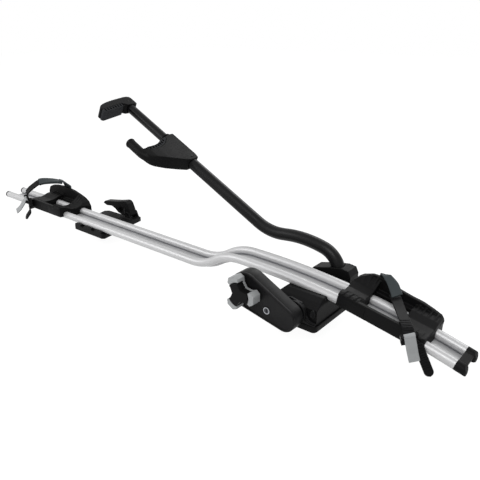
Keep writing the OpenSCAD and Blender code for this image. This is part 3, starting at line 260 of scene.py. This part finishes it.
FINISH = {
    # Base, hub, jaws, trays, buckles, caps and rear foot: near black, with a dull and broken highlight.
    "black_moulding": moulded("grained_black_nylon", "#0f0f10", "#090909",
                              rough=0.5, grain_mm=0.9, relief=0.35, gloss=0.07),
    # Knob housing and covers: a little lighter and smoother, so their edges catch the light.
    "charcoal_moulding": moulded("satin_charcoal_nylon", "#151516", "#0e0e0f",
                                 rough=0.42, grain_mm=0.7, relief=0.18, gloss=0.1),
    # Knob and buckle levers: mid grey, which marks what a hand moves.
    "grey_moulding": moulded("grained_grey_nylon", "#999b9c", "#8b8d8e",
                             rough=0.5, grain_mm=0.9, relief=0.3, gloss=0.25),
    # Clips and sleeve of the straps: a cool dark grey that stands off from the black.
    "slate_moulding": moulded("smooth_slate_nylon", "#3a4042", "#2e3335",
                              rough=0.46, grain_mm=0.8, relief=0.2, gloss=0.14),
    # Bushes and wire drum inside: the off-white of plain acetal.
    "natural_moulding": moulded("natural_acetal", "#c9c8c2", "#bcbab3",
                                rough=0.38, grain_mm=0.6, relief=0.1, gloss=0.45),
    # Sole and foot pads: a matt black that swallows the light.
    "black_rubber": moulded("moulded_epdm_rubber", "#121212", "#0b0b0b",
                            rough=0.78, grain_mm=1.2, relief=0.3, gloss=0.08),
    # Jaw pads: a matt dark grey, with painted shade that turns the slots black.
    "jaw_rubber": moulded("moulded_grey_rubber", "#2e2f31", "#252628",
                          rough=0.7, grain_mm=1.0, relief=0.3, gloss=0.06, crevice_shade_mm=9),
    # Straps: a soft black with a low sheen along the ribs.
    "black_strap": moulded("flexible_black_strap", "#0d0d0e", "#070708",
                           rough=0.46, grain_mm=0.7, relief=0.25, gloss=0.08),
    # Arm and inner tube: smooth powder coat, with a clear line of light along the bends.
    "black_tube": moulded("powder_coated_steel", "#101011", "#0a0a0b",
                          rough=0.36, grain_mm=1.6, relief=0.12, gloss=0.13),
}
print("finishes", sorted(FINISH))

# %% [markdown]
# ## Metals
# The rail is extruded aluminium, etched and anodised: a pale satin grey, with fine die lines along its length. The
# fasteners are zinc-plated steel with a turned or rolled surface, and the lock is dark plated. A metal keeps the
# default IOR; its look comes from its colour, its roughness and the fine lines in it. The lines are a noise that is
# stretched along X by a run. The etched rail scatters light like paint, so it is only partly metallic, and its colour
# has painted shade in the deep groove between its two tubes, where an ambient occlusion node finds the hollow.

# %% Metal finishes
CLOUD_MM, DIE_SATIN = 60, 0.04
# The mid grey painted as shade into the groove between the rail's tubes, and the occlusion range over which it fades
# in.
GROOVE_LOW, GROOVE_HIGH, GROOVE_PAINTED_SHADE = 0.3, 0.62, "#85868a"


def drawn_metal(name, tone, shade, rough, line_mm, run=1, metal=1.0, groove_shade_mm=0):
    material = bpy.data.materials.new(name)
    tree = clear_tree(material)
    place = add(tree, "ShaderNodeTexCoord").outputs["Object"]
    across = 1 / MM / line_mm
    lines = add(tree, "ShaderNodeMapping", inputs={"Vector": place, "Scale": (across / run, across, across)})
    die = add(tree, "ShaderNodeTexNoise",
              inputs={"Vector": lines.outputs[0], "Scale": 1.0, "Detail": 2.0}).outputs["Fac"]
    cloud = noise(tree, place, CLOUD_MM, 2.0).outputs["Fac"]
    clouded = add(tree, "ShaderNodeMath", {"operation": "MULTIPLY"}, {0: die, 1: cloud})
    colour = blend(tree, clouded.outputs[0], ink(shade), ink(tone))
    # Painted shade: the colour falls towards mid grey in the hollow between the tubes.
    if groove_shade_mm:
        out_of_shade = unshaded_share(tree, groove_shade_mm, GROOVE_LOW, GROOVE_HIGH)
        colour = blend(tree, out_of_shade, ink(GROOVE_PAINTED_SHADE), colour)
    surface = add(tree, "ShaderNodeBsdfPrincipled",
                  inputs={"Base Color": colour, "Metallic": metal, "Roughness": around(tree, die, rough, DIE_SATIN)})
    add(tree, "ShaderNodeOutputMaterial", inputs={"Surface": surface.outputs[0]})
    return material


METALS = {
    # Rail: the one bright thing in the picture, pale with long soft lines, and painted shade in the groove between
    # its tubes.
    "satin_alloy": drawn_metal("anodised_extruded_aluminium", "#c4c4c5", "#b6b6b7",
                               rough=0.42, line_mm=1.2, run=150, metal=0.3, groove_shade_mm=25),
    # Bolts, nuts, shafts, wire and the lock's rim: small bright points.
    "bright_steel": drawn_metal("zinc_plated_steel", "#c3c5c8", "#aeb0b4", rough=0.3, line_mm=0.8),
    # Lock barrel: a darker glint on the black cover.
    "lock_steel": drawn_metal("dark_plated_lock", "#55565a", "#434448", rough=0.34, line_mm=0.6),
    # Pins and jaw screws: dark, but with a metal's highlight.
    "black_steel": drawn_metal("black_oxide_steel", "#2a2a2b", "#1e1e1f", rough=0.42, line_mm=0.6),
}
FINISH.update(METALS)
print("metals", [metal.name for metal in METALS.values()])

# %% [markdown]
# ## Tubes, pins and bolts
# Every CAD node gets the finish of its slot. A tube or a turned pin is exact in the CAD model already: round, with
# its real wall and ends. Such a node stays as it is. The mouldings and the straps get pieces of their own below.

# %% Tubes, pins and bolts
for name, node in nodes.items():
    node.data.materials.clear()
    node.data.materials.append(FINISH[slot_of[name]])
print("CAD nodes with a finish", len(nodes))

# %% [markdown]
# ## Mouldings
# A moulding has no sharp edge: the tool rounds each one. A flat-sided piece gets a small bevel on a copy of its CAD
# solid, which keeps its faces true. A piece with a full, soft form is remeshed to an even skin instead, and that
# skin is relaxed until its edges are as round as in the photograph, and thinned where it is flat. The modifiers'
# result then becomes the piece's own mesh, and the piece takes over from its CAD node.

# %% Helpers for mouldings
WELD_MM, FLAT_DEG = 0.002, 0.5
BEVEL_FROM_DEG, BEVEL_SEGMENTS = 50, 3
RELAX, KEPT_FACES = 0.5, 0.3


def linked(name, mesh):
    piece = bpy.data.objects.new(name, mesh)
    scene.collection.objects.link(piece)
    return piece


def plain_copy(node, name):
    """A copy of a CAD solid, welded, with one face for each flat."""
    mesh = bpy.data.meshes.new(name)
    skin = bmesh.new()
    skin.from_mesh(nodes[node].data)
    bmesh.ops.remove_doubles(skin, verts=skin.verts, dist=WELD_MM * MM)
    bmesh.ops.dissolve_limit(skin, angle_limit=math.radians(FLAT_DEG), verts=skin.verts, edges=skin.edges)
    skin.to_mesh(mesh)
    skin.free()
    for spare in ("custom_normal", "UVMap"):
        if spare in mesh.attributes:
            mesh.attributes.remove(mesh.attributes[spare])
    return linked(name, mesh)


def settle(piece, crease_deg):
    """Turns the modifiers' result into the piece's own mesh, with soft shading up to an angle."""
    bpy.context.view_layer.update()
    shape = piece.evaluated_get(bpy.context.evaluated_depsgraph_get())
    mesh = bpy.data.meshes.new_from_object(shape)
    piece.modifiers.clear()
    piece.data = mesh
    mesh.shade_smooth()
    mesh.set_sharp_from_angle(angle=math.radians(crease_deg))
    return piece


def hand_over(piece, node):
    """The piece stands for a CAD node: it takes the node's finish, body and slot."""
    piece.data.materials.clear()
    piece.data.materials.append(FINISH[slot_of[node]])
    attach(piece, body_of[node])
    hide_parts(node)
    return piece


def edged(node, width_mm):
    piece = plain_copy(node, node + "_moulding")
    bevel = piece.modifiers.new("edges", "BEVEL")
    bevel.width = width_mm * MM
    bevel.segments = BEVEL_SEGMENTS
    bevel.limit_method = "ANGLE"
    bevel.angle_limit = math.radians(BEVEL_FROM_DEG)
    bevel.use_clamp_overlap = True
    return hand_over(settle(piece, crease_deg=40), node)


def softened(node, voxel_mm, rounds):
    piece = plain_copy(node, node + "_moulding")
    remesh = piece.modifiers.new("skin", "REMESH")
    remesh.mode = "VOXEL"
    remesh.voxel_size = voxel_mm * MM
    relax = piece.modifiers.new("relax", "SMOOTH")
    relax.factor = RELAX
    relax.iterations = rounds
    thin = piece.modifiers.new("thin", "DECIMATE")
    thin.ratio = KEPT_FACES
    return hand_over(settle(piece, crease_deg=60), node)


print("helpers ready")

# %% [markdown]
# Flat-sided pieces come first, each with the width of its bevel in millimetres.

# %% Crisp mouldings
EDGED = {"base_foot": 2.0, "base_pad": 0.6, "knob_housing": 2.0, "knob_cover": 1.0, "front_plate": 0.4,
         "rear_plate": 0.4, "rear_foot_pads": 0.5}
for node, width in EDGED.items():
    piece = edged(node, width)
    print(piece.name, len(piece.data.polygons))

# %% [markdown]
# Then the soft forms, each with the size of its skin's cells in millimetres and the rounds of relaxing. A large form
# takes larger cells, and a small one keeps its shape with fewer rounds.

# %% Soft mouldings
SOFTENED = {"lower_jaw": (1.0, 10), "upper_jaw": (1.0, 9), "arm_hub": (1.0, 8), "clamp_lever": (1.0, 6),
            "rear_foot": (1.1, 3), "base_housing": (1.1, 3), "base_cover": (0.7, 4), "base_plug": (0.4, 3),
            "rail_front_cap": (0.6, 5), "rail_rear_caps": (0.5, 4), "knob_body": (0.7, 5), "knob_insert": (0.5, 4),
            "front_tray": (0.9, 4), "rear_tray": (0.9, 4), "front_buckle": (0.6, 3), "rear_buckle": (0.6, 3),
            "front_buckle_lever": (0.5, 4), "rear_buckle_lever": (0.5, 4), "rear_strap_clip": (0.5, 3),
            "lower_jaw_pad": (0.5, 1), "upper_jaw_pad": (0.5, 1)}
for node, (voxel, rounds) in SOFTENED.items():
    piece = softened(node, voxel, rounds)
    print(piece.name, len(piece.data.polygons))

# %% [markdown]
# ## Straps
# Each wheel is held by a flexible ladder strap, about 20 mm wide, with cross ribs that the buckle grips. It leaves a
# clip on the far wall, crosses the wheel's place and goes down through the buckle, and its tail hangs out below.
# A flat strap is swept as a strip with soft edges along the same points as its CAD solid, in the strap's own frame.
# That frame stands on the near wall of its tray. The front tray lies on the rail's arc, so its frame is tilted with
# the arc, and the rear tray is turned end for end. All of this is in millimetres, and scaled to metres at the end.

# %% Frames of the straps
ARC_START, CREST_Z, ARC_R, TRAY_S = -156.0, 69.0104, 1700.0, 311.0
REAR_TRAY_AT = (-928, 0, 24.5)
BUCKLE_AT, BUCKLE_LEAN = (0, -5, 27.5), 24
STRAP_X = 53
tilt = TRAY_S / ARC_R
front_at = Matrix.Translation((ARC_START + ARC_R * math.sin(tilt), 0, CREST_Z - ARC_R * (1 - math.cos(tilt))))
front_frame = front_at @ Matrix.Rotation(tilt, 4, "Y")
rear_frame = Matrix.Translation(REAR_TRAY_AT) @ Matrix.Scale(-1, 4, (1, 0, 0))
BUCKLE = Matrix.Translation(BUCKLE_AT) @ Matrix.Rotation(math.radians(BUCKLE_LEAN), 4, "X")
TO_METRES = Matrix.Scale(MM, 4)


def strap_frame(tray_frame, angle, near):
    """The frame of a strap that crosses its tray at an angle from a point on the near wall."""
    return tray_frame @ Matrix.Translation((STRAP_X, near, 0)) @ Matrix.Rotation(math.radians(-angle), 4, "Z")


print("front tray at", [round(v, 2) for v in front_frame.translation])

# %% [markdown]
# A strip needs a soft path, a sideways direction and a half width at each point of it. At each point a ring of six
# corners is laid round the path, and neighbouring rings are joined by faces.

# %% Helpers for strips
STRIP_RIM, STRIP_RIM_SHARE = 0.9, 0.6
TIP_HALF = 0.2


def smooth_path(points, step=2.0):
    """Points on a soft curve through the given ones, about a step apart."""
    ends = [2 * points[0] - points[1]] + list(points) + [2 * points[-1] - points[-2]]
    path = []
    for a, b, c, d in zip(ends, ends[1:], ends[2:], ends[3:]):
        count = max(1, round((c - b).length / step))
        for i in range(count):
            t = i / count
            path.append(0.5 * (2 * b + (c - a) * t + (2 * a - 5 * b + 4 * c - d) * t * t
                               + (3 * b - a - 3 * c + d) * t ** 3))
    return path + [points[-1]]


def round_end(path, half):
    """Half widths along a path whose last stretch closes in a half circle."""
    left, gone = [0.0], 0.0
    for p, q in zip(path[::-1], path[-2::-1]):
        gone += (q - p).length
        left.append(gone)
    return [half if d > half else math.sqrt(max(half ** 2 - (half - d) ** 2, TIP_HALF ** 2)) for d in left[::-1]]


def strip(skin, path, sides, halves, thick):
    """A strip with soft edges along a path: one sideways direction and one half width for each point."""
    rings = []
    for i, (p, side, half) in enumerate(zip(path, sides, halves)):
        ahead = (path[min(i + 1, len(path) - 1)] - path[max(i - 1, 0)]).normalized()
        out = ahead.cross(side).normalized()
        rim = min(STRIP_RIM, half * STRIP_RIM_SHARE)
        corner = [(-half, 0), (-half + rim, thick / 2), (half - rim, thick / 2), (half, 0),
                  (half - rim, -thick / 2), (-half + rim, -thick / 2)]
        rings.append([skin.verts.new(p + side * u + out * v) for u, v in corner])
    for a, b in zip(rings, rings[1:]):
        for i, (p, q) in enumerate(zip(a, b)):
            after = (i + 1) % len(a)
            skin.faces.new((p, a[after], b[after], q))
    skin.faces.new(rings[0])
    skin.faces.new(list(reversed(rings[-1])))


def strip_piece(skin, place, name, node):
    """The strips drawn so far become a piece that stands for a CAD node."""
    skin.transform(TO_METRES @ place)
    bmesh.ops.recalc_face_normals(skin, faces=skin.faces)
    mesh = bpy.data.meshes.new(name)
    skin.to_mesh(mesh)
    skin.free()
    return hand_over(settle(linked(name, mesh), crease_deg=50), node)


print("strap helpers ready")

# %% [markdown]
# The cross ribs repeat, so a Geometry Nodes tree makes them: each rib is a small bar on a point of the strap. Its
# direction comes from two vectors stored on the point, and its width from a stored number. The tree ends with real
# geometry and the strap's finish.

# %% Geometry Nodes tree for the cross ribs
RIB_SIZES = {"Rib length": 2.4 * MM, "Rib height": 1.4 * MM}
ribs = bpy.data.node_groups.new("strap_ribs", "GeometryNodeTree")
ribs.interface.new_socket("Geometry", in_out="INPUT", socket_type="NodeSocketGeometry")
rib_sockets = {}
for label, value in RIB_SIZES.items():
    socket = ribs.interface.new_socket(label, in_out="INPUT", socket_type="NodeSocketFloat")
    socket.default_value = value
    rib_sockets[label] = socket.identifier
socket = ribs.interface.new_socket("Finish", in_out="INPUT", socket_type="NodeSocketMaterial")
rib_sockets["Finish"] = socket.identifier
ribs.interface.new_socket("Geometry", in_out="OUTPUT", socket_type="NodeSocketGeometry")
given = add(ribs, "NodeGroupInput")
stored = {name: add(ribs, "GeometryNodeInputNamedAttribute", {"data_type": "FLOAT_VECTOR"}, {"Name": name})
          for name in ("along", "out")}
width = add(ribs, "GeometryNodeInputNamedAttribute", {"data_type": "FLOAT"}, {"Name": "width"})
turned = add(ribs, "FunctionNodeAxesToRotation", {"primary_axis": "Z", "secondary_axis": "X"},
             {0: stored["out"].outputs[0], 1: stored["along"].outputs[0]})
size = add(ribs, "ShaderNodeCombineXYZ", inputs={"X": given.outputs["Rib length"], "Y": 1.0,
                                                 "Z": given.outputs["Rib height"]})
bar = add(ribs, "GeometryNodeMeshCube", inputs={"Size": size.outputs[0]})
stretch = add(ribs, "ShaderNodeCombineXYZ", inputs={"X": 1.0, "Y": width.outputs[0], "Z": 1.0})
placed = add(ribs, "GeometryNodeInstanceOnPoints",
             inputs={"Points": given.outputs["Geometry"], "Instance": bar.outputs["Mesh"],
                     "Rotation": turned.outputs[0], "Scale": stretch.outputs[0]})
real = add(ribs, "GeometryNodeRealizeInstances", inputs={"Geometry": placed.outputs[0]})
dressed = add(ribs, "GeometryNodeSetMaterial",
              inputs={"Geometry": real.outputs[0], "Material": given.outputs["Finish"]})
add(ribs, "NodeGroupOutput", inputs={"Geometry": dressed.outputs[0]})
print("rib inputs", sorted(rib_sockets))

# %% [markdown]
# Each strap is a run over the wheel's place and a tail under the buckle. The run's points lie in the strap's frame,
# as distance along the strap and height. Its width leans over with its buckle, so it has a lean in degrees at its
# clip, its middle and its buckle. The tail's points lie in the buckle's frame, and the tail is turned a little
# sideways. The ribs begin at a share of the run's length.

# %% Sizes of the straps
MID, HALF, THICK = -3.0, 10.0, 3.4
RIB_PITCH, RIB_INSET, RIB_END, TAIL_RIBBED_FROM = 5.0, 2.0, 9, 0.2
IN_BUCKLE = ((0, -9), (0.45, -20))  # share of the tail's sideways place, and height
STRAPS = {
    "front_strap": {
        "at": strap_frame(front_frame, 51, -48), "lean": (20, 8, 16), "ribbed_from": 0.62,
        "run": [(-104, 27), (-90, 29.5), (-60, 29), (-20, 28.5), (0, 28), (8, 21.5), (10.2, 17), (11, 13.5)],
        "tail": [(11.3, -30), (14, -40), (18.5, -62), (28, -90)],
        "tail_mid": 12.5, "tail_half": 8.5, "tail_turn": 9},
    "rear_strap": {
        "at": strap_frame(rear_frame, 66, -45), "lean": (0, 38, 32), "ribbed_from": 0.55,
        "run": [(-91, 65.5), (-77, 70), (-57, 73.5), (-35, 75), (-22, 72), (-10, 65), (2, 57), (11, 48),
                (13, 41), (11, 33), (11, 13.5)],
        "tail": [(11.3, -30), (14, -38), (20, -48), (26, -60)],
        "tail_mid": -19.6, "tail_half": 9.4, "tail_turn": 0},
}
print("straps", sorted(STRAPS))

# %% [markdown]
# A strap's band is two strips in one mesh. Its ribs are a second piece: a cloud of points, each with its two
# directions and its width, on which the tree above grows the bars.

# %% Helpers for straps
def leaning(lean, share):
    """The strap's sideways direction at a share of its run."""
    first, middle, last = lean
    angle = first + (middle - first) * 2 * share if share < 0.5 else middle + (last - middle) * (2 * share - 1)
    return Vector((0, math.cos(math.radians(angle)), math.sin(math.radians(angle))))


def run_lines(sizes):
    path = smooth_path([Vector((s, MID, n)) for s, n in sizes["run"]])
    return path, [leaning(sizes["lean"], i / (len(path) - 1)) for i in range(len(path))]


def tail_lines(sizes):
    tail, mid = sizes["tail"], sizes["tail_mid"]
    hang = Vector((0, mid, tail[0][1]))
    swing = Matrix.Translation(hang) @ Matrix.Rotation(math.radians(sizes["tail_turn"]), 4, "X")
    swing = swing @ Matrix.Translation(-hang)
    inside = [Vector((tail[0][0], mid * share, m)) for share, m in IN_BUCKLE]
    path = smooth_path([BUCKLE @ p for p in inside + [swing @ Vector((s, mid, m)) for s, m in tail]])
    return path, [(BUCKLE @ swing).to_3x3() @ Vector((0, 1, 0))] * len(path)


def rib_points(place, path, sides, half, start):
    """Points for the cross ribs on a strip's outer face, each with its two directions and its width."""
    found, gone, due = [], 0.0, RIB_PITCH * 2
    length = sum((q - p).length for p, q in zip(path, path[1:]))
    for p, q, side in zip(path, path[1:], sides):
        gone += (q - p).length
        if gone >= due:
            due += RIB_PITCH
            if start * length < gone < length - RIB_END:
                ahead = (q - p).normalized()
                face = ahead.cross(side).normalized()
                turned = place.to_3x3()
                found.append((place @ (q + face * THICK / 2), (turned @ ahead).normalized(),
                              (turned @ face).normalized(), 2 * (half - RIB_INSET) * MM))
    return found


def grow_ribs(node, found):
    """A piece with a rib on each point found."""
    points, alongs, outs, widths = zip(*found)
    cloud = bpy.data.meshes.new(node + "_ribs")
    cloud.from_pydata([tuple(p) for p in points], [], [])
    for name, vectors in (("along", alongs), ("out", outs)):
        layer = cloud.attributes.new(name, "FLOAT_VECTOR", "POINT")
        layer.data.foreach_set("vector", [c for v in vectors for c in v])
    cloud.attributes.new("width", "FLOAT", "POINT").data.foreach_set("value", widths)
    rib = linked(node + "_ribs", cloud)
    grow = rib.modifiers.new("ribs", "NODES")
    grow.node_group = ribs
    for label, value in RIB_SIZES.items():
        grow[rib_sockets[label]] = value
    grow[rib_sockets["Finish"]] = FINISH["black_strap"]
    settle(rib, crease_deg=30)
    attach(rib, body_of[node])
    return rib


print("strap pitch", RIB_PITCH, "mm")

# %% Both straps
bands = {}
for node, sizes in STRAPS.items():
    run, run_sides = run_lines(sizes)
    tail, tail_sides = tail_lines(sizes)
    skin = bmesh.new()
    strip(skin, run, run_sides, [HALF] * len(run), THICK)
    strip(skin, tail, tail_sides, round_end(tail, sizes["tail_half"]), THICK)
    band = strip_piece(skin, sizes["at"], node + "_band", node)
    place = TO_METRES @ sizes["at"]
    found = rib_points(place, run, run_sides, HALF, sizes["ribbed_from"])
    found += rib_points(place, tail, tail_sides, sizes["tail_half"], TAIL_RIBBED_FROM)
    grow_ribs(node, found)
    bands[node] = (run, run_sides)
    print(band.name, len(band.data.polygons), "ribs", len(found))

# %% [markdown]
# ## Clip and sleeve
# The front strap ends in a slate clip that bends over the far wall, and its outer edge stands higher than its inner
# one. Two edge lines through the clip's corners give that twist better than one path does. The rear strap carries
# a slate sleeve on its arch, which spares the wheel's rim, and it follows the strap's own path.

# %% Front clip
CLIP_LOW = [(-10.7, 12, 31.3), (-23, 24, 36), (-37, 38, 39.5), (-58, 53, 43.5), (-60, 57, 40), (-60, 57.4, 28)]
CLIP_HIGH = [(1, 29, 38.5), (-7.5, 36, 43), (-18, 44, 47.5), (-35.6, 53, 50), (-37, 57.5, 45), (-37, 57.4, 28)]
CLIP_ROWS, CLIP_STEP, CLIP_THICK = 24, 0.5, 3.2


def even_rows(line):
    """The same count of points on each edge line, evenly along it."""
    soft = smooth_path([Vector(p) for p in line], CLIP_STEP)
    return [soft[round(i * (len(soft) - 1) / CLIP_ROWS)] for i in range(CLIP_ROWS + 1)]


rows = list(zip(even_rows(CLIP_LOW), even_rows(CLIP_HIGH)))
skin = bmesh.new()
strip(skin, [(a + b) / 2 for a, b in rows], [(b - a).normalized() for a, b in rows],
      [(b - a).length / 2 for a, b in rows], CLIP_THICK)
clip = strip_piece(skin, front_frame, "front_clip", "front_strap_clip")
print(clip.name, len(clip.data.polygons))

# %% Rear sleeve
SLEEVE_FROM, SLEEVE_TO, SLEEVE_ABOVE = -92, -24, 60
SLEEVE_WIDER, SLEEVE_THICK = 1.5, 7.5
covered = [(p, side) for p, side in zip(*bands["rear_strap"])
           if SLEEVE_FROM <= p.x <= SLEEVE_TO and p.z > SLEEVE_ABOVE]
skin = bmesh.new()
strip(skin, [p for p, side in covered], [side for p, side in covered], [HALF + SLEEVE_WIDER] * len(covered),
      SLEEVE_THICK)
sleeve = strip_piece(skin, STRAPS["rear_strap"]["at"], "rear_sleeve", "rear_strap_pad")
print(sleeve.name, len(sleeve.data.polygons))
